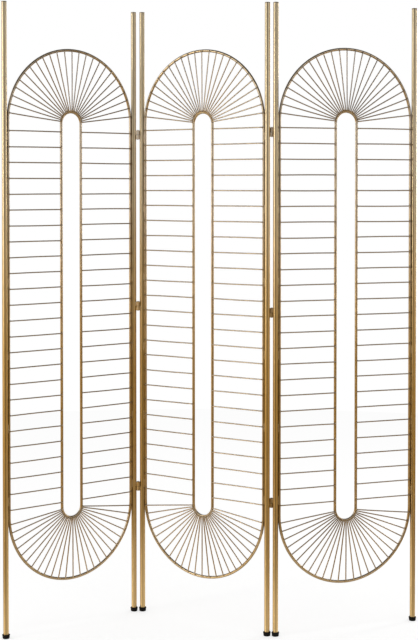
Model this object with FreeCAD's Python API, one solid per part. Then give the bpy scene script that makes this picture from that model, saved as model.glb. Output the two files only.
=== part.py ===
import FreeCAD, Part
import math
import os

# Folding room divider: three wire-filled panels joined by barrel hinges.
# Millimetres, +Z up, +X to the right, +Y to the back. The origin is on the floor,
# under the middle of the box round the six feet. Each panel is drawn in its own
# frame, with its posts on the local X axis and its wires on the local -Y side,
# and is then turned to its place in the half-open zigzag.

# Whole screen
screen_height = 1800.0
post_spacing = 436.0
left_panel_turn = 36.8
middle_panel_turn = -33.1
right_panel_turn = 19.5

# Gaps between pieces
weld_gap = 0.02
slip_gap = 0.05
turning_gap = 0.1
overrun = 1.0

# Posts and their top caps
post_diameter = 15.5
post_wall = 1.2
cap_height = 3.5
cap_chamfer = 0.8
cap_stem_length = 14.0

# Rubber feet, the screws that hold them and the threaded inserts in the tubes
foot_height = 11.5
foot_lip = 3.25
foot_lip_height = 2.6
foot_taper = 1.2
foot_chamfer = 1.6
foot_spare = 0.4
screw_diameter = 5.0
screw_length = 17.0
screw_head_diameter = 8.0
screw_head_height = 2.6
screw_hole_gap = 0.3
screw_recess_depth = 4.0
screw_recess_gap = 0.3
screw_slot_width = 1.2
screw_slot_depth = 1.0
insert_height = 16.0
insert_chamfer = 1.0

# Rings of bent rod
ring_floor_clearance = 132.5
ring_top_clearance = 122.0
outer_rod_diameter = 8.0
inner_rod_diameter = 8.0
inner_setback = 5.0
slot_width = 58.0
rod_sides = 12

# Wires. The rungs sit above the ring's middle, and the left panel hangs the other way up.
wire_diameter = 3.5
wire_sides = 6
wire_inset = 0.5
rung_end_gap = 26.1
rung_offset = 5.0
rung_count = 25
fan_count = 25

# Hinges
top_hinge_drop = 34.5
middle_hinge_rise = 16.0
bottom_hinge_rise = 36.0
post_gap_when_flat = 0.2
knuckle_height = 12.5
knuckle_gap = 0.4
lug_width = 6.0
lug_wrap = 1.0
pin_diameter = 4.0
pin_head_diameter = 7.0
pin_head_height = 1.6
pin_head_chamfer = 1.0
pin_peen_diameter = 6.0
pin_peen_height = 1.2
washer_thickness = 0.8
washer_inset = 0.3


def bar_corner(diameter, sides):
    """The corner radius of a many-sided bar with the section area of a round one."""
    half_angle = math.pi / sides
    area_share = math.sin(half_angle) * math.cos(half_angle) / half_angle
    return diameter / 2 / math.sqrt(area_share)


def bar_flat(diameter, sides):
    """The distance from the middle of such a bar to its flats."""
    return bar_corner(diameter, sides) * math.cos(math.pi / sides)


# Sizes that follow from the ones above
post_radius = post_diameter / 2
post_bore_radius = post_radius - post_wall
half_spacing = post_spacing / 2
tube_top = screen_height - cap_height
tube_length = tube_top - foot_height
cap_stem_end = tube_top - cap_stem_length
stem_radius = post_bore_radius - slip_gap
foot_rim_radius = post_radius + foot_lip
foot_base_radius = foot_rim_radius - foot_taper
insert_top = foot_height + insert_height
screw_radius = screw_diameter / 2
screw_head_radius = screw_head_diameter / 2
screw_head_base = screw_recess_depth - screw_head_height
screw_tip = screw_recess_depth + screw_length
screw_hole_radius = screw_radius + screw_hole_gap
screw_recess_radius = screw_head_radius + screw_recess_gap
ring_bottom = ring_floor_clearance
ring_top = screen_height - ring_top_clearance
ring_centre_height = (ring_bottom + ring_top) / 2
outer_rod_corner = bar_corner(outer_rod_diameter, rod_sides)
outer_rod_flat = bar_flat(outer_rod_diameter, rod_sides)
outer_edge = half_spacing - post_radius - weld_gap
outer_ring_radius = outer_edge - outer_rod_flat
outer_half_straight = (ring_top - ring_bottom) / 2 - outer_edge
inner_rod_corner = bar_corner(inner_rod_diameter, rod_sides)
inner_rod_flat = bar_flat(inner_rod_diameter, rod_sides)
inner_edge = slot_width / 2
inner_ring_radius = inner_edge + inner_rod_flat
inner_ring_plane = inner_rod_flat - outer_rod_flat
inner_half_straight = outer_half_straight - inner_setback
wire_corner = bar_corner(wire_diameter, wire_sides)
wire_plane = -outer_rod_flat - weld_gap - bar_flat(wire_diameter, wire_sides)
rung_pitch = 2 * (outer_half_straight - rung_end_gap) / (rung_count - 1)
hinge_heights = {
    "top": ring_centre_height + outer_half_straight - top_hinge_drop,
    "middle": ring_centre_height + middle_hinge_rise,
    "bottom": ring_centre_height - outer_half_straight + bottom_hinge_rise,
}
hinge_side = post_radius + post_gap_when_flat / 2
hinge_out = foot_rim_radius + foot_spare / 2
hinge_reach = math.hypot(hinge_side, hinge_out)
knuckle_radius = hinge_reach - post_radius - knuckle_gap
pin_radius = pin_diameter / 2
pin_bore_radius = pin_radius + slip_gap
upper_knuckle_base = washer_thickness + turning_gap


def vector(x, y, z):
    return FreeCAD.Vector(x, y, z)


def cylinder(radius, height, x, y, z):
    return Part.makeCylinder(radius, height, vector(x, y, z))


def revolved(profile):
    """A solid of revolution about Z from (radius, height) corners."""
    corners = [vector(radius, 0, height) for radius, height in profile]
    face = Part.Face(Part.makePolygon(corners + corners[:1]))
    return face.revolve(vector(0, 0, 0), vector(0, 0, 1), 360)


def bar_section(middle, corner, sides, first, second):
    """The outline of a bar, with flats that face along the two unit directions of its plane."""
    corners = []
    for side in range(sides):
        angle = (2 * side + 1) * math.pi / sides
        corners.append(middle + (first * math.cos(angle) + second * math.sin(angle)) * corner)
    return Part.Face(Part.makePolygon(corners + corners[:1]))


def moved(shape, x, y, z):
    copy = shape.copy()
    copy.translate(vector(x, y, z))
    return copy


# One function for each kind of piece, in its panel's frame

def make_post():
    tube = cylinder(post_radius, tube_length, 0, 0, foot_height)
    bore = cylinder(post_bore_radius, tube_length + 2 * overrun, 0, 0, foot_height - overrun)
    return tube.cut(bore)


def make_cap():
    return revolved([
        (0, cap_stem_end),
        (stem_radius, cap_stem_end),
        (stem_radius, tube_top),
        (post_radius, tube_top),
        (post_radius, screen_height - cap_chamfer),
        (post_radius - cap_chamfer, screen_height),
        (0, screen_height),
    ])


def make_foot():
    return revolved([
        (screw_recess_radius, 0),
        (foot_base_radius - foot_chamfer, 0),
        (foot_base_radius, foot_chamfer),
        (foot_rim_radius, foot_height - foot_lip_height),
        (foot_rim_radius, foot_height),
        (screw_hole_radius, foot_height),
        (screw_hole_radius, screw_recess_depth),
        (screw_recess_radius, screw_recess_depth),
    ])


def make_insert():
    bore_radius = screw_radius + slip_gap
    return revolved([
        (bore_radius, foot_height),
        (stem_radius, foot_height),
        (stem_radius, insert_top - insert_chamfer),
        (stem_radius - insert_chamfer, insert_top),
        (bore_radius, insert_top),
    ])


def make_screw():
    screw = revolved([
        (0, screw_head_base),
        (screw_head_radius, screw_head_base),
        (screw_head_radius, screw_recess_depth),
        (screw_radius, screw_recess_depth),
        (screw_radius, screw_tip),
        (0, screw_tip),
    ])
    slot_length = screw_head_diameter + 2 * overrun
    slot_corner = vector(-slot_length / 2, -screw_slot_width / 2, screw_head_base - overrun)
    slot = Part.makeBox(slot_length, screw_slot_width, screw_slot_depth + overrun, slot_corner)
    return screw.cut(slot)


def make_ring(radius, half_straight, rod_corner, plane):
    """A stadium ring of bent rod: two straight legs and two half circles."""
    x_axis = vector(1, 0, 0)
    y_axis = vector(0, 1, 0)
    top = vector(0, plane, ring_centre_height + half_straight)
    bottom = vector(0, plane, ring_centre_height - half_straight)
    right_end = bar_section(bottom + x_axis * radius, rod_corner, rod_sides, x_axis, y_axis)
    left_end = bar_section(bottom - x_axis * radius, rod_corner, rod_sides, x_axis, y_axis)
    high_end = bar_section(top + x_axis * radius, rod_corner, rod_sides, x_axis, y_axis)
    right_leg = right_end.extrude(top - bottom)
    left_leg = left_end.extrude(top - bottom)
    top_bend = high_end.revolve(top, y_axis * -1, 180)
    bottom_bend = right_end.revolve(bottom, y_axis, 180)
    return right_leg.fuse([top_bend, left_leg, bottom_bend]).removeSplitter()


def make_wire(start, direction, length):
    """One straight wire on the front of the rings, with a flat side towards them."""
    y_axis = vector(0, 1, 0)
    section = bar_section(start, wire_corner, wire_sides, y_axis, y_axis.cross(direction))
    return section.extrude(direction * length)


def make_rungs(side, lift):
    """The level wires on one side of the slot: side is -1 for left and 1 for right."""
    first = inner_edge + wire_inset
    length = outer_edge - wire_inset - first
    lowest = ring_centre_height + lift - rung_pitch * (rung_count - 1) / 2
    rungs = []
    for number in range(rung_count):
        start = vector(side * first, wire_plane, lowest + number * rung_pitch)
        rungs.append(make_wire(start, vector(side, 0, 0), length))
    return Part.makeCompound(rungs)


def make_fan(end):
    """The radial wires over one rounded end: end is 1 for the top and -1 for the bottom."""
    centre = vector(0, wire_plane, ring_centre_height + end * inner_half_straight)
    first = inner_edge + wire_inset
    reach = outer_edge - wire_inset
    step = math.pi / (fan_count + 1)
    wires = []
    for number in range(fan_count):
        turn = (number + 1) * step - math.pi / 2
        direction = vector(math.sin(turn), 0, end * math.cos(turn))
        sideways = inner_setback * math.sin(turn)
        last = inner_setback * math.cos(turn) + math.sqrt(reach ** 2 - sideways ** 2)
        wires.append(make_wire(centre + direction * first, direction, last - first))
    return Part.makeCompound(wires)


def make_knuckle(base, post_x, post_y):
    """A knuckle on the hinge axis, with a lug that saddles the post at (post_x, post_y)."""
    barrel = cylinder(knuckle_radius, knuckle_height, 0, 0, base)
    lug_length = hinge_reach - post_radius + lug_wrap
    lug = Part.makeBox(lug_length, lug_width, knuckle_height, vector(0, -lug_width / 2, base))
    lug.rotate(vector(0, 0, 0), vector(0, 0, 1), math.degrees(math.atan2(post_y, post_x)))
    tall = knuckle_height + 2 * overrun
    saddle = cylinder(post_radius + weld_gap, tall, post_x, post_y, base - overrun)
    bore = cylinder(pin_bore_radius, tall, 0, 0, base - overrun)
    return barrel.fuse(lug).removeSplitter().cut(saddle).cut(bore)


def make_pin():
    bottom = -knuckle_height
    top = upper_knuckle_base + knuckle_height + turning_gap
    head_top = top + pin_head_height
    head_radius = pin_head_diameter / 2
    peen_radius = pin_peen_diameter / 2
    return revolved([
        (0, bottom - pin_peen_height),
        (pin_radius, bottom - pin_peen_height),
        (peen_radius, bottom - pin_peen_height / 2),
        (peen_radius, bottom),
        (pin_radius, bottom),
        (pin_radius, top),
        (head_radius, top),
        (head_radius, head_top - pin_head_chamfer),
        (head_radius - pin_head_chamfer, head_top),
        (0, head_top),
    ])


def make_washer():
    radius = knuckle_radius - washer_inset
    washer = cylinder(radius, washer_thickness, 0, 0, 0)
    return washer.cut(cylinder(pin_bore_radius, washer_thickness + 2 * overrun, 0, 0, -overrun))


# Where the panels and the hinge axes stand

def along(turn):
    return vector(math.cos(math.radians(turn)), math.sin(math.radians(turn)), 0)


def behind(turn):
    return vector(-math.sin(math.radians(turn)), math.cos(math.radians(turn)), 0)


turns = {"left": left_panel_turn, "middle": middle_panel_turn, "right": right_panel_turn}
hinge_along = half_spacing + hinge_side
middle_side = along(middle_panel_turn) * hinge_along
middle_out = behind(middle_panel_turn) * hinge_out
left_axis = middle_side * -1 - middle_out
right_axis = middle_side + middle_out
centres = {
    "left": left_axis - along(left_panel_turn) * hinge_along + behind(left_panel_turn) * hinge_out,
    "middle": vector(0, 0, 0),
    "right": right_axis + along(right_panel_turn) * hinge_along - behind(right_panel_turn) * hinge_out,
}
post_sides = {"left": -half_spacing, "right": half_spacing}
rung_sides = {"left": -1, "right": 1}
rung_lifts = {"left": -rung_offset, "middle": rung_offset, "right": rung_offset}
posts = {}
for panel, turn in turns.items():
    for side, x in post_sides.items():
        posts[panel, side] = centres[panel] + along(turn) * x
posts_x = [place.x for place in posts.values()]
posts_y = [place.y for place in posts.values()]
origin = vector((min(posts_x) + max(posts_x)) / 2, (min(posts_y) + max(posts_y)) / 2, 0)


def placed(shape, panel):
    """A shape of one panel's frame, turned and moved to its place in the screen."""
    copy = shape.copy()
    copy.rotate(vector(0, 0, 0), vector(0, 0, 1), turns[panel])
    copy.translate(centres[panel] - origin)
    return copy


# All the pieces by name
pieces = {}
post = make_post()
paired_pieces = {
    "caps": make_cap(),
    "feet": make_foot(),
    "foot_inserts": make_insert(),
    "foot_screws": make_screw(),
}
panel_pieces = {
    "outer_ring": make_ring(outer_ring_radius, outer_half_straight, outer_rod_corner, 0),
    "inner_ring": make_ring(inner_ring_radius, inner_half_straight, inner_rod_corner, inner_ring_plane),
    "top_fan": make_fan(1),
    "bottom_fan": make_fan(-1),
}
for panel in turns:
    for side, x in post_sides.items():
        pieces[f"{panel}_panel_{side}_post"] = placed(moved(post, x, 0, 0), panel)
    for kind, shape in paired_pieces.items():
        pair = [moved(shape, x, 0, 0) for x in post_sides.values()]
        pieces[f"{panel}_panel_{kind}"] = placed(Part.makeCompound(pair), panel)
    for kind, shape in panel_pieces.items():
        pieces[f"{panel}_panel_{kind}"] = placed(shape, panel)
    for side, sign in rung_sides.items():
        pieces[f"{panel}_panel_{side}_rungs"] = placed(make_rungs(sign, rung_lifts[panel]), panel)

# The middle panel carries the lower knuckles, pins and washers of both folds
folds = {
    "left": (left_axis, posts["middle", "left"], posts["left", "right"]),
    "right": (right_axis, posts["middle", "right"], posts["right", "left"]),
}
for fold, (axis, middle_post, outer_post) in folds.items():
    lower_side = middle_post - axis
    upper_side = outer_post - axis
    lower = make_knuckle(-knuckle_height, lower_side.x, lower_side.y)
    upper = make_knuckle(upper_knuckle_base, upper_side.x, upper_side.y)
    places = {name: axis - origin + vector(0, 0, z) for name, z in hinge_heights.items()}
    for name, place in places.items():
        pieces[f"{fold}_fold_{name}_lower_knuckle"] = moved(lower, place.x, place.y, place.z)
        pieces[f"{fold}_fold_{name}_upper_knuckle"] = moved(upper, place.x, place.y, place.z)
    for kind, shape in {"pins": make_pin(), "washers": make_washer()}.items():
        group = [moved(shape, place.x, place.y, place.z) for place in places.values()]
        pieces[f"{fold}_fold_{kind}"] = Part.makeCompound(group)

os.makedirs("parts", exist_ok=True)
for name, shape in pieces.items():
    shape.exportStep(f"parts/{name}.step")

print("hinge axes:", left_axis - origin, right_axis - origin)
print("posts:", [place - origin for place in posts.values()])
print("pieces:", len(pieces), "solids:", sum(len(shape.Solids) for shape in pieces.values()))
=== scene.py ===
import math
import random

import bmesh
import bpy
from mathutils import Matrix, Vector


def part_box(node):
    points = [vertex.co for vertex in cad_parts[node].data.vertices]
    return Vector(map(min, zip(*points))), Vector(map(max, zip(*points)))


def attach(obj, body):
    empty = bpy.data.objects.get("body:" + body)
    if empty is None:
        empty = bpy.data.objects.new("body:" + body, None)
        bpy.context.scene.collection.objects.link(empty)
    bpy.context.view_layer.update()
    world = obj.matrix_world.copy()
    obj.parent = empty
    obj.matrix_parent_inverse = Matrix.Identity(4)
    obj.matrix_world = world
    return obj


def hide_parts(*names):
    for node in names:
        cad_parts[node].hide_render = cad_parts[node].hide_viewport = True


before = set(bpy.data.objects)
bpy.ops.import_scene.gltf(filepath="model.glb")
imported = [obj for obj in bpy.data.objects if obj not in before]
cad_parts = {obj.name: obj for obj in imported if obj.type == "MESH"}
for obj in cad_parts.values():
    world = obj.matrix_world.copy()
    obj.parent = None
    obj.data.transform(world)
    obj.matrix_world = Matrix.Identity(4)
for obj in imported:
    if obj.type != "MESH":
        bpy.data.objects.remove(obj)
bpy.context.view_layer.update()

# Folding room divider: three gold wire panels on two folds, in metres.
# Each panel is dressed in its own frame, with X from its left post to its right
# one, -Y to the front and Z up. Places come from the CAD nodes of that panel.

PANELS = ("left", "middle", "right")
SIDES = {"left": -1, "right": 1}
ENDS = {"top": 1, "bottom": -1}
HINGE_LEVELS = ("top", "middle", "bottom")
FRONT_TO_BACK = Vector((0.0, 1.0, 0.0))
UP = Vector((0.0, 0.0, 1.0))
SHARP_ANGLE = math.radians(40.0)
RANDOM_SEED = 7

# Rods and wires
ROD_RADIUS = 0.004
WIRE_RADIUS = 0.00175
RUNG_COUNT = 25
FAN_COUNT = 25
ROD_SIDES = 24
WIRE_SIDES = 12
BEND_STEPS = 64
LEG_STEPS = 160
WIRE_STEPS = 14

# How far a wire stops short of the middle line of the rod that it is welded on
WIRE_SETBACK = 0.0020

# Softened tips of the wires, as shares of the wire's radius
TIP_LENGTH_SHARE = 0.5
TIP_RADIUS_SHARE = 0.72

# How far hand welding lets a wire stray, and how far weld heat browns it
WIRE_STRAY = 0.0006
WIRE_BOW = 0.0005
HEAT_LENGTH = 0.010

# Spot welds at the ends of the wires
NUGGET_LENGTH = 0.0026
NUGGET_WIDTH = 0.0023
NUGGET_DEPTH = 0.0017
NUGGET_RINGS = 6
NUGGET_SIDES = 10
NUGGET_HEAT = 0.6

# Butt weld that closes the left panel's outer ring, which also carries a painted glint
BUTT_WELD_HEIGHT = 1.221
BUTT_WELD_LENGTH = 0.014
BUTT_WELD_SWELL = 0.00035

# Runs of weld between rings and posts, and along the hinge lugs
STITCH_COUNT = 6
STITCH_LENGTH = 0.026
STITCH_RADIUS = 0.0016
STITCH_END_MARGIN = 0.045
LUG_WELD_RADIUS = 0.0010
RIPPLE_PITCH = 0.0021
RIPPLE_SHARE = 0.16
RIPPLES_AT_LEAST = 2
BEAD_SIDES = 10
BEAD_STEPS_PER_RIPPLE = 6
BEAD_TIP_SHARE = 0.12
BEAD_TAPER_RATE = 4.0
BEAD_HEAT = 0.5

# Hinges
LUG_HALF_WIDTH = 0.003
HINGE_EDGE_ROUND = 0.0005
HINGE_EDGE_STEPS = 2

# Rubber feet and post caps
FOOT_LIP_HEIGHT = 0.0030
FOOT_LIP_ROUND = 0.0010
FOOT_BASE_ROUND = 0.0018
FOOT_GROOVE = 0.0004
FOOT_TAPER = 0.0012
FOOT_RECESS_RADIUS = 0.0043
FOOT_RECESS_DEPTH = 0.0037
CAP_HEIGHT = 0.0035
CAP_ROUND = 0.0009
CAP_CROWN = 0.0003
CAP_SEAM = 0.0004
LATHE_SIDES = 48
ROUND_STEPS = 5

# Wear, weld heat, painted shade and a painted glint of the gold: colours in linear RGB, their shares, and
# depths in metres
# Painted shade: a dark brown that ambient occlusion lays in corners, grooves and crevices
PAINTED_SHADE_BROWN = (0.09, 0.045, 0.006)
HEAT_BROWN = (0.46, 0.32, 0.16)
# Painted glint: a near-white patch on the butt weld of the left panel's outer ring
WELD_GLINT_WHITE = (0.95, 0.93, 0.88)
WORN_GOLD = (0.80, 0.64, 0.36)
HEAT_SHARE = 0.5
WELD_GLINT_SHARE = 0.85
WORN_SHARE = 0.5
# Reach and samples of the ambient occlusion that lays the painted shade, on most parts and on the hinges
HOLLOW_REACH = 0.010
HINGE_HOLLOW_REACH = 0.0025
HOLLOW_SAMPLES = 8
GRAIN_DEPTH = 0.000006
SMUDGE_POLISH = 0.01
SMUDGE_ROUGHNESS = 0.02
STREAK_ROUGHNESS = 0.02
ALONG_POST = (1.0, 1.0, 0.02)
EVEN_GRAIN = (1.0, 1.0, 1.0)

# Colours and texture depths of the other materials
RUBBER_TONES = ((0.0035, 0.0033, 0.0031), (0.009, 0.0083, 0.0076))
RUBBER_DUST = (0.040, 0.036, 0.032)
DUST_SHARE = 0.3
PORE_DEPTH = 0.00012
ZINC_TONES = ((0.46, 0.45, 0.42), (0.62, 0.61, 0.58))
ALONG_SCREW = (1.0, 1.0, 9.0)
TURNING_MARK_DEPTH = 0.00005
# Painted shade: dark tones for the hinge washers, so the seam between the knuckles reads as shade
SEAM_SHADE_TONES = ((0.035, 0.027, 0.018), (0.085, 0.068, 0.048))
NYLON_TONES = ((0.006, 0.006, 0.006), (0.011, 0.011, 0.010))
FLOW_MARK_DEPTH = 0.0001

# Values of a texture between which a ramp rises
DRIFT_SPAN = (0.34, 0.66)
HOLLOW_SPAN = (0.42, 0.99)
BROWNED_SPAN = (0.0, 1.0)
WELD_GLINT_SPAN = (-1.0, -0.2)
WORN_SPAN = (0.53, 0.60)
DUST_SPAN = (0.52, 0.60)
GRAIN_SPAN = (0.25, 0.75)
PATCH_SPAN = (0.35, 0.65)
NOISE_SPAN = (0.3, 0.7)

# Where a Mix node keeps its colour sockets
MIX_COLOUR_INPUTS = (6, 7)
MIX_COLOUR_OUTPUT = 2

# Studio: azimuths turn from the front towards the right, in degrees
WHITE = (1.0, 1.0, 1.0, 1.0)
SCREEN_MIDDLE = Vector((0.0, 0.0, 1.0))
STUDIO_RADIUS = 2.7
STUDIO_SIDES = 96
WORLD_FILL = 0.7
WALL_RADIUS = 3.6
WALL_HEIGHT = 2.9
SOFTBOX_AZIMUTH = -62.0
SOFTBOX_MIDDLE = 1.4
SOFTBOX_WIDTH = 0.3
SOFTBOX_HEIGHT = 1.5
SOFTBOX_WATTS = 10.0
CARD_MIDDLE = 1.5
CARD_HEIGHT = 3.0
DOOR_AZIMUTHS = {"front": 0.0, "back": 180.0}
DOOR_WIDTH = 2.2
FLAG_AZIMUTH = 80.0
FLAG_WIDTH = 1.6
CEILING_HEIGHT = 3.4
CEILING_SIZE = 7.0

# Tones of the studio as the metal sees it, near the floor and above
TONE_SPAN = (0.8, 1.2)
WALL_TONES = ((0.61, 0.40, 0.055), (0.82, 0.94, 1.34))
DARK_TONES = ((0.04, 0.024, 0.003), (0.13, 0.145, 0.20))
CEILING_TONE = (0.10, 0.105, 0.12)

# Floor: its own grey and glow, and the tones that the metal sees near the screen and further off, a painted
# pool of light
FLOOR_RADIUS = 4.0
FLOOR_GREY = (0.5, 0.5, 0.5, 1.0)
FLOOR_GLOW = 0.62
FLOOR_REACH_SPAN = (0.35, 1.2)
FLOOR_MIRRORED_TONES = ((0.37, 0.345, 0.31), (0.05, 0.035, 0.006))
FLOOR_POLISH = (0.64, 0.56, 0.42, 1.0)
FLOOR_POLISH_ROUGHNESS = 0.28

# Camera, fitted to the photograph
CAMERA_LENS_MM = 80.22
CAMERA_SENSOR_MM = 36.0
CAMERA_SHIFT_SHARE = -0.15625
CAMERA_PLACE = (-0.01245, -4.1420, 1.2862)
CAMERA_DIP_DEGREES = 1.434


# Node materials

def node_tools(tree):
    """A helper that adds one node with its inputs to a tree, and one that feeds an input."""
    def node(kind, inputs=None, **settings):
        made = tree.nodes.new("ShaderNode" + kind)
        for key, value in settings.items():
            setattr(made, key, value)
        for key, value in (inputs or {}).items():
            feed(made, key, value)
        return made

    def feed(target, key, value):
        if isinstance(value, bpy.types.NodeSocket):
            tree.links.new(value, target.inputs[key])
        else:
            target.inputs[key].default_value = value

    return node, feed


def new_material(name):
    """A material with its Principled shader and the helpers for its nodes."""
    material = bpy.data.materials.new(name)
    material.use_nodes = True
    node, feed = node_tools(material.node_tree)
    return material, material.node_tree.nodes["Principled BSDF"], node, feed


def studio_material(name):
    """A material without a Principled shader, with its output and the helpers for its nodes."""
    material, shader, node, feed = new_material(name)
    nodes = material.node_tree.nodes
    nodes.remove(shader)
    return material, nodes["Material Output"], node, feed


def ramp(node, value, span, start=0.0, end=1.0):
    """A smooth step from the start value to the end value while the input crosses the span."""
    low, high = span
    step = node(
        "MapRange",
        {"Value": value, "From Min": low, "From Max": high, "To Min": start, "To Max": end},
        interpolation_type="SMOOTHSTEP",
    )
    return step.outputs["Result"]


def mixed(node, share, first, second):
    """A colour between two colours, each a socket or a linear RGB tuple."""
    mix = node("Mix", {0: share}, data_type="RGBA")
    for index, colour in zip(MIX_COLOUR_INPUTS, (first, second)):
        if isinstance(colour, bpy.types.NodeSocket):
            mix.id_data.links.new(colour, mix.inputs[index])
        else:
            mix.inputs[index].default_value = (*colour, 1.0)
    return mix.outputs[MIX_COLOUR_OUTPUT]


def noise(node, places, scale, detail=2.0, roughness=0.5):
    """A noise texture's value at the given places."""
    texture = node("TexNoise", {"Vector": places, "Scale": scale, "Detail": detail, "Roughness": roughness})
    return texture.outputs["Fac"]


def bumped(node, height, strength, depth):
    """A normal that follows a texture's height."""
    return node("Bump", {"Height": height, "Strength": strength, "Distance": depth}).outputs["Normal"]


def lacquered_gold(
    name, pale, deep, roughness, painted_shade_share, grain_stretch=EVEN_GRAIN, hollow_reach=HOLLOW_REACH
):
    """Gold plating under clear lacquer, with drifting tone, drawn grain, painted shade in its corners and
    grooves, a painted glint on the butt weld and worn edges.
    """
    material, shader, node, feed = new_material(name)
    places = node("TexCoord").outputs["Object"]
    drawn = node("Mapping", {"Vector": places, "Scale": grain_stretch}).outputs["Vector"]
    drift = noise(node, places, scale=7.0, detail=3.0)
    smudge = noise(node, places, scale=46.0, detail=4.0, roughness=0.6)
    grain = noise(node, drawn, scale=900.0, detail=3.0, roughness=0.7)

    tone = mixed(node, ramp(node, drift, DRIFT_SPAN), deep, pale)
    # Painted shade: ambient occlusion turns the gold dark brown in corners, grooves and crevices
    hollow = node("AmbientOcclusion", {"Distance": hollow_reach}, samples=HOLLOW_SAMPLES).outputs["AO"]
    tone = mixed(node, ramp(node, hollow, HOLLOW_SPAN, start=painted_shade_share, end=0.0), tone, PAINTED_SHADE_BROWN)
    heat = node("Attribute", attribute_name="heat").outputs["Fac"]
    tone = mixed(node, ramp(node, heat, BROWNED_SPAN, end=HEAT_SHARE), tone, HEAT_BROWN)
    # Painted glint: a near-white patch where the heat is negative, on the butt weld
    tone = mixed(node, ramp(node, heat, WELD_GLINT_SPAN, start=WELD_GLINT_SHARE, end=0.0), tone, WELD_GLINT_WHITE)
    edge = node("NewGeometry").outputs["Pointiness"]
    tone = mixed(node, ramp(node, edge, WORN_SPAN, end=WORN_SHARE), tone, WORN_GOLD)
    feed(shader, "Base Color", tone)

    polished = roughness - SMUDGE_POLISH
    blotch = ramp(node, smudge, NOISE_SPAN, start=polished, end=roughness + SMUDGE_ROUGHNESS)
    streak = ramp(node, grain, GRAIN_SPAN, end=STREAK_ROUGHNESS)
    feed(shader, "Roughness", node("Math", {0: blotch, 1: streak}, operation="ADD").outputs[0])
    feed(shader, "Normal", bumped(node, grain, strength=0.3, depth=GRAIN_DEPTH))
    feed(shader, "Metallic", 1.0)
    feed(shader, "Coat Weight", 0.12)
    feed(shader, "Coat Roughness", 0.10)
    return material


def moulded_rubber(name):
    """Black rubber with a fine moulded texture and pale dust on its edges."""
    material, shader, node, feed = new_material(name)
    places = node("TexCoord").outputs["Object"]
    mottle = noise(node, places, scale=160.0, detail=4.0)
    pores = noise(node, places, scale=2600.0)
    tone = mixed(node, ramp(node, mottle, NOISE_SPAN), *RUBBER_TONES)
    edge = node("NewGeometry").outputs["Pointiness"]
    tone = mixed(node, ramp(node, edge, DUST_SPAN, end=DUST_SHARE), tone, RUBBER_DUST)
    feed(shader, "Base Color", tone)
    feed(shader, "Roughness", ramp(node, mottle, GRAIN_SPAN, start=0.42, end=0.60))
    feed(shader, "Normal", bumped(node, pores, strength=0.25, depth=PORE_DEPTH))
    feed(shader, "Specular IOR Level", 0.1)
    return material


def zinc_steel(name):
    """Bright zinc-plated steel with turning marks and a few dull patches."""
    material, shader, node, feed = new_material(name)
    places = node("TexCoord").outputs["Object"]
    patch = noise(node, places, scale=240.0, detail=4.0)
    turned = node("Mapping", {"Vector": places, "Scale": ALONG_SCREW}).outputs["Vector"]
    marks = noise(node, turned, scale=1500.0)
    feed(shader, "Base Color", mixed(node, ramp(node, patch, PATCH_SPAN), *ZINC_TONES))
    feed(shader, "Roughness", ramp(node, patch, NOISE_SPAN, start=0.24, end=0.42))
    feed(shader, "Normal", bumped(node, marks, strength=0.15, depth=TURNING_MARK_DEPTH))
    feed(shader, "Metallic", 1.0)
    return material


def seam_shade_steel(name):
    """Dark steel with mottled patches, painted shade so that the seam between the knuckles of a hinge reads
    as a shaded line.
    """
    material, shader, node, feed = new_material(name)
    places = node("TexCoord").outputs["Object"]
    seam_patches = noise(node, places, scale=420.0, detail=3.0)
    feed(shader, "Base Color", mixed(node, ramp(node, seam_patches, NOISE_SPAN), *SEAM_SHADE_TONES))
    feed(shader, "Roughness", ramp(node, seam_patches, NOISE_SPAN, start=0.32, end=0.5))
    feed(shader, "Metallic", 1.0)
    return material


def black_nylon(name):
    """Black nylon with a dull skin and faint flow marks."""
    material, shader, node, feed = new_material(name)
    places = node("TexCoord").outputs["Object"]
    flow = noise(node, places, scale=320.0, detail=3.0)
    feed(shader, "Base Color", mixed(node, ramp(node, flow, NOISE_SPAN), *NYLON_TONES))
    feed(shader, "Roughness", ramp(node, flow, NOISE_SPAN, start=0.45, end=0.6))
    feed(shader, "Normal", bumped(node, flow, strength=0.1, depth=FLOW_MARK_DEPTH))
    return material


# Each gold sets how much painted shade darkens it in its corners, grooves and crevices
POST_GOLD = lacquered_gold(
    "post_gold_lacquer",
    pale=(0.72, 0.49, 0.20),
    deep=(0.64, 0.42, 0.145),
    roughness=0.29,
    painted_shade_share=0.97,
    grain_stretch=ALONG_POST,
)
RING_GOLD = lacquered_gold(
    "ring_gold_lacquer",
    pale=(0.71, 0.54, 0.31),
    deep=(0.62, 0.46, 0.25),
    roughness=0.29,
    painted_shade_share=0.9,
)
WIRE_GOLD = lacquered_gold(
    "wire_gold_lacquer",
    pale=(0.585, 0.45, 0.285),
    deep=(0.51, 0.385, 0.235),
    roughness=0.30,
    painted_shade_share=0.3,
)
HINGE_GOLD = lacquered_gold(
    "hinge_gold_lacquer",
    pale=(0.90, 0.70, 0.46),
    deep=(0.80, 0.61, 0.37),
    roughness=0.28,
    painted_shade_share=0.98,
    hollow_reach=HINGE_HOLLOW_REACH,
)
CAP_GOLD = lacquered_gold(
    "cap_gold_lacquer",
    pale=(0.50, 0.37, 0.20),
    deep=(0.42, 0.30, 0.15),
    roughness=0.30,
    painted_shade_share=0.97,
)
RUBBER = moulded_rubber("foot_black_rubber")
STEEL = zinc_steel("screw_zinc_steel")
# The washer steel is painted shade for the seam between the hinge knuckles
SEAM_SHADE_STEEL = seam_shade_steel("washer_seam_shade_steel")
NYLON = black_nylon("insert_black_nylon")


# Meshes

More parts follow.
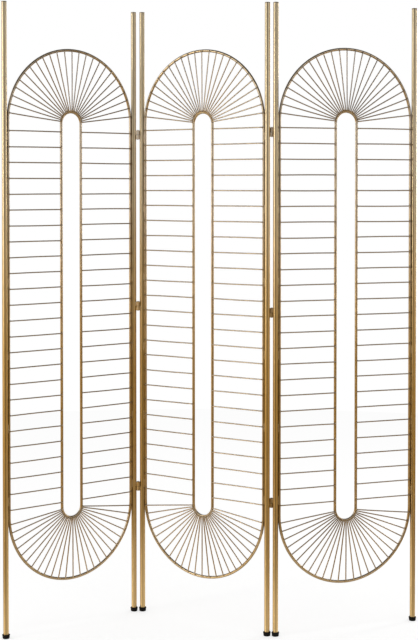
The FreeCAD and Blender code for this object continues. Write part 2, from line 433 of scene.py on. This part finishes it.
def new_piece(name, build, matrix, body, material, sharp_angle=None):
    """A mesh piece built in a panel's frame, which rides on a body."""
    mesh = bpy.data.meshes.new(name)
    bm = bmesh.new()
    bm.verts.layers.float.new("heat")
    build(bm)
    bmesh.ops.recalc_face_normals(bm, faces=bm.faces)
    for face in bm.faces:
        face.smooth = True
    bm.to_mesh(mesh)
    bm.free()
    mesh.transform(matrix)
    if sharp_angle:
        mesh.set_sharp_from_angle(angle=sharp_angle)
    mesh.materials.append(material)
    piece = bpy.data.objects.new(name, mesh)
    bpy.context.scene.collection.objects.link(piece)
    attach(piece, body)
    return piece


def bridge(bm, first, second):
    """Quads between two rings of as many points."""
    count = len(first)
    for k in range(count):
        bm.faces.new((first[k], first[(k + 1) % count], second[(k + 1) % count], second[k]))


def sweep(bm, path, radii, sides, closed=False, heats=None):
    """A round rod along points of a plane that holds X and Z, with its own radius at each point."""
    heat_layer = bm.verts.layers.float["heat"]
    count = len(path)
    rings = []
    for k, point in enumerate(path):
        before = path[(k - 1) % count] if closed or k > 0 else point
        after = path[(k + 1) % count] if closed or k < count - 1 else point
        outward = FRONT_TO_BACK.cross((after - before).normalized())
        ring = []
        for side in range(sides):
            angle = 2.0 * math.pi * side / sides
            offset = FRONT_TO_BACK * math.cos(angle) + outward * math.sin(angle)
            vert = bm.verts.new(point + offset * radii[k])
            vert[heat_layer] = heats[k] if heats else 0.0
            ring.append(vert)
        rings.append(ring)
    for first, second in zip(rings, rings[1:]):
        bridge(bm, first, second)
    if closed:
        bridge(bm, rings[-1], rings[0])
    else:
        bm.faces.new(rings[0])
        bm.faces.new(rings[-1])


def lathe(bm, profile, x):
    """A turned body about the vertical line at x, from (radius, height) points that make a loop."""
    angles = [2.0 * math.pi * k / LATHE_SIDES for k in range(LATHE_SIDES)]
    rings = []
    for radius, height in profile:
        if radius == 0.0:
            rings.append([bm.verts.new((x, 0.0, height))])
            continue
        places = [(x + radius * math.cos(angle), radius * math.sin(angle), height) for angle in angles]
        rings.append([bm.verts.new(place) for place in places])
    for first, second in zip(rings, rings[1:] + rings[:1]):
        if len(first) == 1 and len(second) == 1:
            continue
        if len(first) == 1 or len(second) == 1:
            tip, ring = (first[0], second) if len(first) == 1 else (second[0], first)
            for k in range(LATHE_SIDES):
                bm.faces.new((tip, ring[k], ring[(k + 1) % LATHE_SIDES]))
        else:
            bridge(bm, first, second)


def rounded(corners, radii):
    """A profile loop whose corners are arcs of the given radii, and sharp where the radius is zero."""
    points = []
    count = len(corners)
    for k, radius in enumerate(radii):
        corner = Vector(corners[k])
        if radius == 0.0:
            points.append(tuple(corner))
            continue
        back = (Vector(corners[k - 1]) - corner).normalized()
        ahead = (Vector(corners[(k + 1) % count]) - corner).normalized()
        half = back.angle(ahead) / 2.0
        middle = corner + (back + ahead).normalized() * (radius / math.sin(half))
        start = corner + back * (radius / math.tan(half)) - middle
        end = corner + ahead * (radius / math.tan(half)) - middle
        for step in range(ROUND_STEPS + 1):
            arm = start.lerp(end, step / ROUND_STEPS).normalized()
            points.append(tuple(middle + arm * radius))
    return points


def stadium(radius, half_straight, middle_z, plane):
    """Points round a stadium, anticlockwise from the foot of its right leg."""
    points = []
    for side, end in ((1, 1), (-1, -1)):
        for step in range(LEG_STEPS):
            z = middle_z + end * half_straight * (2.0 * step / LEG_STEPS - 1.0)
            points.append(Vector((side * radius, plane, z)))
        for step in range(BEND_STEPS):
            angle = math.pi * step / BEND_STEPS
            x = side * radius * math.cos(angle)
            z = middle_z + end * (half_straight + radius * math.sin(angle))
            points.append(Vector((x, plane, z)))
    return points


def bead(bm, foot, length, radius):
    """A vertical run of weld with the ripples of its puddles, tapered at both ends."""
    ripples = max(RIPPLES_AT_LEAST, round(length / RIPPLE_PITCH))
    steps = ripples * BEAD_STEPS_PER_RIPPLE
    path = []
    radii = []
    for step in range(steps + 1):
        share = step / steps
        taper = min(1.0, math.sin(math.pi * share) * BEAD_TAPER_RATE + BEAD_TIP_SHARE)
        wave = abs(math.sin(math.pi * ripples * share))
        path.append(foot + UP * (length * share))
        radii.append(radius * taper * (1.0 - RIPPLE_SHARE + RIPPLE_SHARE * wave))
    sweep(bm, path, radii, BEAD_SIDES, heats=[BEAD_HEAT] * len(path))


def nugget(bm, place, direction):
    """A spot weld: a flattened drop between a wire and the rod that it is welded on."""
    heat_layer = bm.verts.layers.float["heat"]
    beside = FRONT_TO_BACK.cross(direction)
    rings = []
    for ring in range(1, NUGGET_RINGS):
        lift = math.pi * ring / NUGGET_RINGS
        verts = []
        for side in range(NUGGET_SIDES):
            angle = 2.0 * math.pi * side / NUGGET_SIDES
            offset = direction * (NUGGET_LENGTH * math.sin(lift) * math.cos(angle))
            offset += beside * (NUGGET_WIDTH * math.sin(lift) * math.sin(angle))
            offset += FRONT_TO_BACK * (NUGGET_DEPTH * math.cos(lift))
            vert = bm.verts.new(place + offset)
            vert[heat_layer] = NUGGET_HEAT
            verts.append(vert)
        rings.append(verts)
    for first, second in zip(rings, rings[1:]):
        bridge(bm, first, second)
    bm.faces.new(rings[0])
    bm.faces.new(rings[-1])


# One panel

def panel_frame(panel):
    """The panel's own frame, from the middles of its two posts, and half their spacing."""
    middles = []
    for side in SIDES:
        low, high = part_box(f"{panel}_panel_{side}_post")
        middles.append((low + high) / 2.0)
    x_axis = (middles[1] - middles[0]).normalized()
    y_axis = Vector((-x_axis.y, x_axis.x, 0.0))
    matrix = Matrix((x_axis, y_axis, UP)).transposed().to_4x4()
    place = (middles[0] + middles[1]) / 2.0
    matrix.translation = (place.x, place.y, 0.0)
    return matrix, (middles[1] - middles[0]).length / 2.0


def extent(node, matrix):
    """The lowest and highest corner of a CAD node in a panel's frame."""
    to_panel = matrix.inverted()
    places = [to_panel @ vert.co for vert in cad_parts[node].data.vertices]
    low = Vector(min(place[axis] for place in places) for axis in range(3))
    high = Vector(max(place[axis] for place in places) for axis in range(3))
    return low, high


def paint(node, material):
    """Gives a CAD node its material."""
    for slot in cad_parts[node].material_slots:
        slot.material = material


class Ring:
    """The measures of one ring of rod, read from its CAD node."""

    def __init__(self, node, matrix):
        low, high = extent(node, matrix)
        self.plane = (low.y + high.y) / 2.0
        self.front = low.y
        self.edge = high.x
        self.radius = high.x - (high.y - low.y) / 2.0
        self.middle_z = (low.z + high.z) / 2.0
        self.half_straight = (high.z - low.z) / 2.0 - high.x


def rod_builder(ring, weld_height=None):
    """Builds a ring of smooth rod, with the swelling of its butt weld, if any, on the left leg, and a
    painted glint on that weld.
    """
    def build(bm):
        path = stadium(ring.radius, ring.half_straight, ring.middle_z, ring.plane)
        radii = []
        heats = []
        for point in path:
            nearness = 0.0
            if weld_height and point.x < 0.0:
                nearness = math.exp(-(2.0 * (point.z - weld_height) / BUTT_WELD_LENGTH) ** 2)
            radii.append(ROD_RADIUS + BUTT_WELD_SWELL * nearness)
            # Negative heat marks the painted glint on the butt weld
            heats.append(-nearness)
        sweep(bm, path, radii, ROD_SIDES, closed=True, heats=heats)
    return build


def wire(bm, start, end):
    """One drawn wire with softened tips, strayed a little, bowed a little and browned at both welds."""
    beside = FRONT_TO_BACK.cross((end - start).normalized())
    start = start + beside * random.uniform(-WIRE_STRAY, WIRE_STRAY)
    end = end + beside * random.uniform(-WIRE_STRAY, WIRE_STRAY)
    bow = random.uniform(-WIRE_BOW, WIRE_BOW)
    length = (end - start).length
    tip_share = WIRE_RADIUS * TIP_LENGTH_SHARE / length
    heat_share = HEAT_LENGTH / length
    shares = [0.0, tip_share, heat_share / 2.0, heat_share]
    inner = [step / WIRE_STEPS for step in range(1, WIRE_STEPS)]
    shares += [share for share in inner if heat_share < share < 1.0 - heat_share]
    shares += [1.0 - heat_share, 1.0 - heat_share / 2.0, 1.0 - tip_share, 1.0]
    path = [start.lerp(end, share) + beside * (bow * math.sin(math.pi * share)) for share in shares]
    radii = [WIRE_RADIUS] * len(shares)
    radii[0] = radii[-1] = WIRE_RADIUS * TIP_RADIUS_SHARE
    heats = [max(0.0, 1.0 - min(share, 1.0 - share) / heat_share) for share in shares]
    sweep(bm, path, radii, WIRE_SIDES, heats=heats)


def rung_ends(outer, inner, wire_plane, side, lowest, pitch):
    """Both ends of each level wire on one side of the slot."""
    near = side * (inner.radius + WIRE_SETBACK)
    far = side * (outer.radius - WIRE_SETBACK)
    ends = []
    for number in range(RUNG_COUNT):
        z = lowest + number * pitch
        ends.append((Vector((near, wire_plane, z)), Vector((far, wire_plane, z))))
    return ends


def fan_ends(outer, inner, wire_plane, end):
    """Both ends of each wire over one rounded end, on radii of the inner ring's bend."""
    centre_gap = outer.half_straight - inner.half_straight
    centre = Vector((0.0, wire_plane, inner.middle_z + end * inner.half_straight))
    near = inner.radius + WIRE_SETBACK
    far = outer.radius - WIRE_SETBACK
    ends = []
    for number in range(FAN_COUNT):
        turn = (number + 1) * math.pi / (FAN_COUNT + 1) - math.pi / 2.0
        direction = Vector((math.sin(turn), 0.0, end * math.cos(turn)))
        reach = centre_gap * math.cos(turn) + math.sqrt(far ** 2 - (centre_gap * math.sin(turn)) ** 2)
        ends.append((centre + direction * near, centre + direction * reach))
    return ends


def wires_builder(ends):
    """Builds the wires of one group."""
    def build(bm):
        for start, end in ends:
            wire(bm, start, end)
    return build


def nuggets_builder(ends, rod_front):
    """Builds the spot welds at both ends of each wire, on the front of the rod behind it."""
    def build(bm):
        for start, end in ends:
            direction = (end - start).normalized()
            for place in (start, end):
                nugget(bm, Vector((place.x, rod_front, place.z)), direction)
    return build


def stitches_builder(outer):
    """Builds short runs of weld in the grooves between the ring's legs and the posts, front and back."""
    def build(bm):
        reach = outer.half_straight - STITCH_END_MARGIN
        for side in SIDES.values():
            for face in (-1, 1):
                for number in range(STITCH_COUNT):
                    middle = outer.middle_z + reach * (2.0 * number / (STITCH_COUNT - 1) - 1.0)
                    depth = face * (ROD_RADIUS - STITCH_RADIUS)
                    foot = Vector((side * outer.edge, depth, middle - STITCH_LENGTH / 2.0))
                    bead(bm, foot, STITCH_LENGTH, STITCH_RADIUS)
    return build


def pair_builder(profile, half_spacing):
    """Builds one turned body on each post of a panel."""
    def build(bm):
        for side in SIDES.values():
            lathe(bm, profile, side * half_spacing)
    return build


def foot_profile(low, high, half_spacing):
    """A moulded foot with a rounded lip, a tapered side and a recess for the screw."""
    rim = high.x - half_spacing
    base = rim - FOOT_TAPER
    neck = high.z - FOOT_LIP_HEIGHT
    corners = [
        (FOOT_RECESS_RADIUS, low.z),
        (base, low.z),
        (rim - FOOT_GROOVE, neck),
        (rim, neck + FOOT_GROOVE),
        (rim, high.z),
        (FOOT_RECESS_RADIUS, high.z),
        (FOOT_RECESS_RADIUS, low.z + FOOT_RECESS_DEPTH),
    ]
    return rounded(corners, [0.0, FOOT_BASE_ROUND, 0.0, 0.0, FOOT_LIP_ROUND, 0.0, 0.0])


def cap_profile(high, half_spacing):
    """An end plug with a rounded rim, a slight crown and a seam where it meets the tube."""
    rim = high.x - half_spacing
    seat = high.z - CAP_HEIGHT
    corners = [
        (0.0, seat),
        (rim - CAP_SEAM, seat),
        (rim, seat + CAP_SEAM),
        (rim, high.z - CAP_CROWN),
        (0.0, high.z),
    ]
    return rounded(corners, [0.0, 0.0, 0.0, CAP_ROUND, 0.0])


def dress_rings(name, matrix, outer, inner, weld_height):
    """The two rings of one panel, and the welds that hold the outer one to the posts."""
    rod = rod_builder(outer, weld_height)
    piece = new_piece(f"{name}_outer_rod", rod, matrix, name, RING_GOLD)
    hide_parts(f"{name}_outer_ring")
    piece = new_piece(f"{name}_inner_rod", rod_builder(inner), matrix, name, RING_GOLD)
    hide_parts(f"{name}_inner_ring")
    new_piece(f"{name}_stitch_welds", stitches_builder(outer), matrix, name, RING_GOLD)


def dress_wires(name, matrix, outer, inner):
    """The rungs and fans of one panel, with their spot welds."""
    low, high = extent(f"{name}_left_rungs", matrix)
    wire_plane = (low.y + high.y) / 2.0
    lowest = low.z + WIRE_RADIUS
    pitch = (high.z - low.z - 2.0 * WIRE_RADIUS) / (RUNG_COUNT - 1)
    groups = {}
    for side, sign in SIDES.items():
        groups[f"{side}_rungs"] = rung_ends(outer, inner, wire_plane, sign, lowest, pitch)
    for end, sign in ENDS.items():
        groups[f"{end}_fan"] = fan_ends(outer, inner, wire_plane, sign)
    for group, ends in groups.items():
        wires = wires_builder(ends)
        piece = new_piece(f"{name}_{group}_wires", wires, matrix, name, WIRE_GOLD, SHARP_ANGLE)
        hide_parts(f"{name}_{group}")
        welds = nuggets_builder(ends, outer.front)
        new_piece(f"{name}_{group}_spot_welds", welds, matrix, name, WIRE_GOLD)


def dress_posts(name, matrix, half_spacing):
    """The feet and caps of one panel, and the paint of its posts and foot fixings."""
    low, high = extent(f"{name}_feet", matrix)
    feet = pair_builder(foot_profile(low, high, half_spacing), half_spacing)
    piece = new_piece(f"{name}_rubber_feet", feet, matrix, name, RUBBER, SHARP_ANGLE)
    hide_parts(f"{name}_feet")

    _, high = extent(f"{name}_caps", matrix)
    caps = pair_builder(cap_profile(high, half_spacing), half_spacing)
    piece = new_piece(f"{name}_post_caps", caps, matrix, name, CAP_GOLD, SHARP_ANGLE)
    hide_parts(f"{name}_caps")

    for side in SIDES:
        paint(f"{name}_{side}_post", POST_GOLD)
    paint(f"{name}_foot_inserts", NYLON)
    paint(f"{name}_foot_screws", STEEL)


def dress_panel(panel):
    """All the pieces of one panel. The left one's outer ring shows its butt weld, with a painted glint on
    it.
    """
    name = f"{panel}_panel"
    matrix, half_spacing = panel_frame(panel)
    outer = Ring(f"{name}_outer_ring", matrix)
    inner = Ring(f"{name}_inner_ring", matrix)
    weld_height = BUTT_WELD_HEIGHT if panel == "left" else None
    dress_rings(name, matrix, outer, inner, weld_height)
    dress_wires(name, matrix, outer, inner)
    dress_posts(name, matrix, half_spacing)


# Hinges of one fold

def soften(node):
    """Rounds the sharp edges of a CAD node a little."""
    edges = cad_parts[node].modifiers.new("softened_edges", "BEVEL")
    edges.width = HINGE_EDGE_ROUND
    edges.segments = HINGE_EDGE_STEPS
    edges.limit_method = "ANGLE"
    edges.angle_limit = SHARP_ANGLE


def lug_welds_builder(axis, post, post_radius, low, high):
    """Builds the two runs of weld along a hinge lug, where it meets its post."""
    inward = Vector((axis.x - post.x, axis.y - post.y, 0.0)).normalized()
    beside = Vector((-inward.y, inward.x, 0.0)) * LUG_HALF_WIDTH
    reach = math.sqrt(post_radius ** 2 - LUG_HALF_WIDTH ** 2)

    def build(bm):
        for side in SIDES.values():
            foot = Vector((post.x, post.y, low)) + inward * reach + beside * side
            bead(bm, foot, high - low, LUG_WELD_RADIUS)
    return build


def dress_fold(fold):
    """The hinges of one fold. The middle panel carries the lower knuckles and the outer one the upper."""
    name = f"{fold}_fold"
    low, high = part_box(f"{name}_pins")
    axis = (low + high) / 2.0
    other = {"left": "right", "right": "left"}[fold]
    bearers = {"lower": ("middle_panel", fold), "upper": (f"{fold}_panel", other)}
    paint(f"{name}_pins", HINGE_GOLD)
    # The dark washers are painted shade in the seam between the knuckles
    paint(f"{name}_washers", SEAM_SHADE_STEEL)
    for half, (body, side) in bearers.items():
        post_low, post_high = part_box(f"{body}_{side}_post")
        post = (post_low + post_high) / 2.0
        post_radius = (post_high.x - post_low.x) / 2.0
        for level in HINGE_LEVELS:
            hinge = f"{name}_{level}_{half}"
            paint(f"{hinge}_knuckle", HINGE_GOLD)
            soften(f"{hinge}_knuckle")
            low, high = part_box(f"{hinge}_knuckle")
            welds = lug_welds_builder(axis, post, post_radius, low.z, high.z)
            new_piece(f"{hinge}_lug_welds", welds, Matrix.Identity(4), body, HINGE_GOLD)


# Floor, lights and camera

def make_world():
    """A white backdrop for what the camera and the metal see, and an even fill for the rest."""
    world = bpy.data.worlds.new("white_studio")
    bpy.context.scene.world = world
    world.use_nodes = True
    world.node_tree.nodes.clear()
    node, _ = node_tools(world.node_tree)
    path = node("LightPath").outputs
    rays = {0: path["Is Camera Ray"], 1: path["Is Glossy Ray"]}
    direct = node("Math", rays, operation="MAXIMUM").outputs[0]
    rays = {0: direct, 1: path["Is Transmission Ray"]}
    seen = node("Math", rays, operation="MAXIMUM").outputs[0]
    fill = node("Background", {"Color": WHITE, "Strength": WORLD_FILL}).outputs[0]
    backdrop = node("Background", {"Color": WHITE, "Strength": 1.0}).outputs[0]
    light = node("MixShader", {0: seen, 1: fill, 2: backdrop}).outputs[0]
    node("OutputWorld", {"Surface": light})


def make_floor():
    """A white floor that keeps the screen's soft shadow; in the metal it glows as a painted pool of light,
    brighter near the screen and dimmer further off.
    """
    bpy.ops.mesh.primitive_circle_add(vertices=STUDIO_SIDES, radius=FLOOR_RADIUS, fill_type="NGON")
    floor = bpy.context.object
    floor.name = "studio_floor"
    material, output, node, feed = studio_material("studio_floor_white")
    lit = node("BsdfDiffuse", {"Color": FLOOR_GREY}).outputs[0]
    glow = node("Emission", {"Color": WHITE, "Strength": FLOOR_GLOW}).outputs[0]
    shown = node("AddShader", {0: lit, 1: glow}).outputs[0]
    # Painted pool of light: in reflections the floor glows brighter near the screen and dimmer further off
    places = node("TexCoord").outputs["Object"]
    reach = node("VectorMath", {0: places}, operation="LENGTH").outputs["Value"]
    tone = mixed(node, ramp(node, reach, FLOOR_REACH_SPAN), *FLOOR_MIRRORED_TONES)
    reflected_pool_glow = node("Emission", {"Color": tone, "Strength": 1.0}).outputs[0]
    polish = node("BsdfGlossy", {"Color": FLOOR_POLISH, "Roughness": FLOOR_POLISH_ROUGHNESS}).outputs[0]
    mirrored = node("AddShader", {0: reflected_pool_glow, 1: polish}).outputs[0]
    glossy = node("LightPath").outputs["Is Glossy Ray"]
    feed(output, "Surface", node("MixShader", {0: glossy, 1: shown, 2: mirrored}).outputs[0])
    floor.data.materials.append(material)


def around(azimuth, height):
    """A place on the studio's circle."""
    turn = math.radians(azimuth)
    return Vector((STUDIO_RADIUS * math.sin(turn), -STUDIO_RADIUS * math.cos(turn), height))


def face_middle(stand, centre):
    """Stands a card or a lamp at a place, turned towards the middle of the screen."""
    stand.location = centre
    stand.rotation_mode = "QUATERNION"
    stand.rotation_quaternion = (centre - SCREEN_MIDDLE).to_track_quat("Z", "Y")


def only_mirrored(stand):
    """Hides a studio piece from everything but reflections."""
    stand.visible_camera = False
    stand.visible_diffuse = False
    stand.visible_shadow = False
    stand.visible_transmission = False


def studio_tone(name, tones):
    """A glow with one tone near the floor and another above."""
    material, output, node, feed = studio_material(name)
    place = node("NewGeometry").outputs["Position"]
    rise = node("SeparateXYZ", {0: place}).outputs["Z"]
    tone = mixed(node, ramp(node, rise, TONE_SPAN), *tones)
    feed(output, "Surface", node("Emission", {"Color": tone, "Strength": 1.0}).outputs[0])
    return material


def make_card(name, centre, width, height, tones):
    """A flat studio card that only the metal sees."""
    bpy.ops.mesh.primitive_plane_add(size=1.0)
    card = bpy.context.object
    card.name = name
    card.scale = (width, height, 1.0)
    face_middle(card, centre)
    card.data.materials.append(studio_tone(f"{name}_tone", tones))
    only_mirrored(card)


def make_wall():
    """The round studio wall that only the metal sees."""
    bpy.ops.mesh.primitive_cylinder_add(
        vertices=STUDIO_SIDES,
        radius=WALL_RADIUS,
        depth=WALL_HEIGHT,
        end_fill_type="NOTHING",
        location=(0.0, 0.0, WALL_HEIGHT / 2.0),
    )
    wall = bpy.context.object
    wall.name = "studio_wall"
    wall.data.materials.append(studio_tone("studio_wall_tone", WALL_TONES))
    only_mirrored(wall)


def make_softbox(name, centre):
    """A tall narrow lamp that the camera doesn't see."""
    data = bpy.data.lights.new(name, "AREA")
    data.shape = "RECTANGLE"
    data.size = SOFTBOX_WIDTH
    data.size_y = SOFTBOX_HEIGHT
    data.energy = SOFTBOX_WATTS
    lamp = bpy.data.objects.new(name, data)
    bpy.context.scene.collection.objects.link(lamp)
    face_middle(lamp, centre)
    lamp.visible_camera = False


def make_camera():
    """A camera at the place and angle that were fitted to the photograph."""
    data = bpy.data.cameras.new("photo_camera")
    data.lens = CAMERA_LENS_MM
    data.sensor_width = CAMERA_SENSOR_MM
    data.shift_y = CAMERA_SHIFT_SHARE
    camera = bpy.data.objects.new("photo_camera", data)
    bpy.context.scene.collection.objects.link(camera)
    camera.location = CAMERA_PLACE
    camera.rotation_euler = (math.radians(90.0 - CAMERA_DIP_DEGREES), 0.0, 0.0)
    bpy.context.scene.camera = camera


def make_studio():
    """The world, the floor and the stands round the screen."""
    make_world()
    make_floor()
    make_wall()
    for name, azimuth in DOOR_AZIMUTHS.items():
        make_softbox(f"{name}_softbox", around(azimuth + SOFTBOX_AZIMUTH, SOFTBOX_MIDDLE))
        make_card(f"{name}_door", around(azimuth, CARD_MIDDLE), DOOR_WIDTH, CARD_HEIGHT, DARK_TONES)
    make_card("right_flag", around(FLAG_AZIMUTH, CARD_MIDDLE), FLAG_WIDTH, CARD_HEIGHT, DARK_TONES)
    ceiling_tones = (CEILING_TONE, CEILING_TONE)
    make_card("ceiling", UP * CEILING_HEIGHT, CEILING_SIZE, CEILING_SIZE, ceiling_tones)


# The whole screen

random.seed(RANDOM_SEED)
for panel in PANELS:
    dress_panel(panel)
for fold in SIDES:
    dress_fold(fold)
make_studio()
make_camera()

settings = bpy.context.scene.view_settings
settings.view_transform = "Standard"
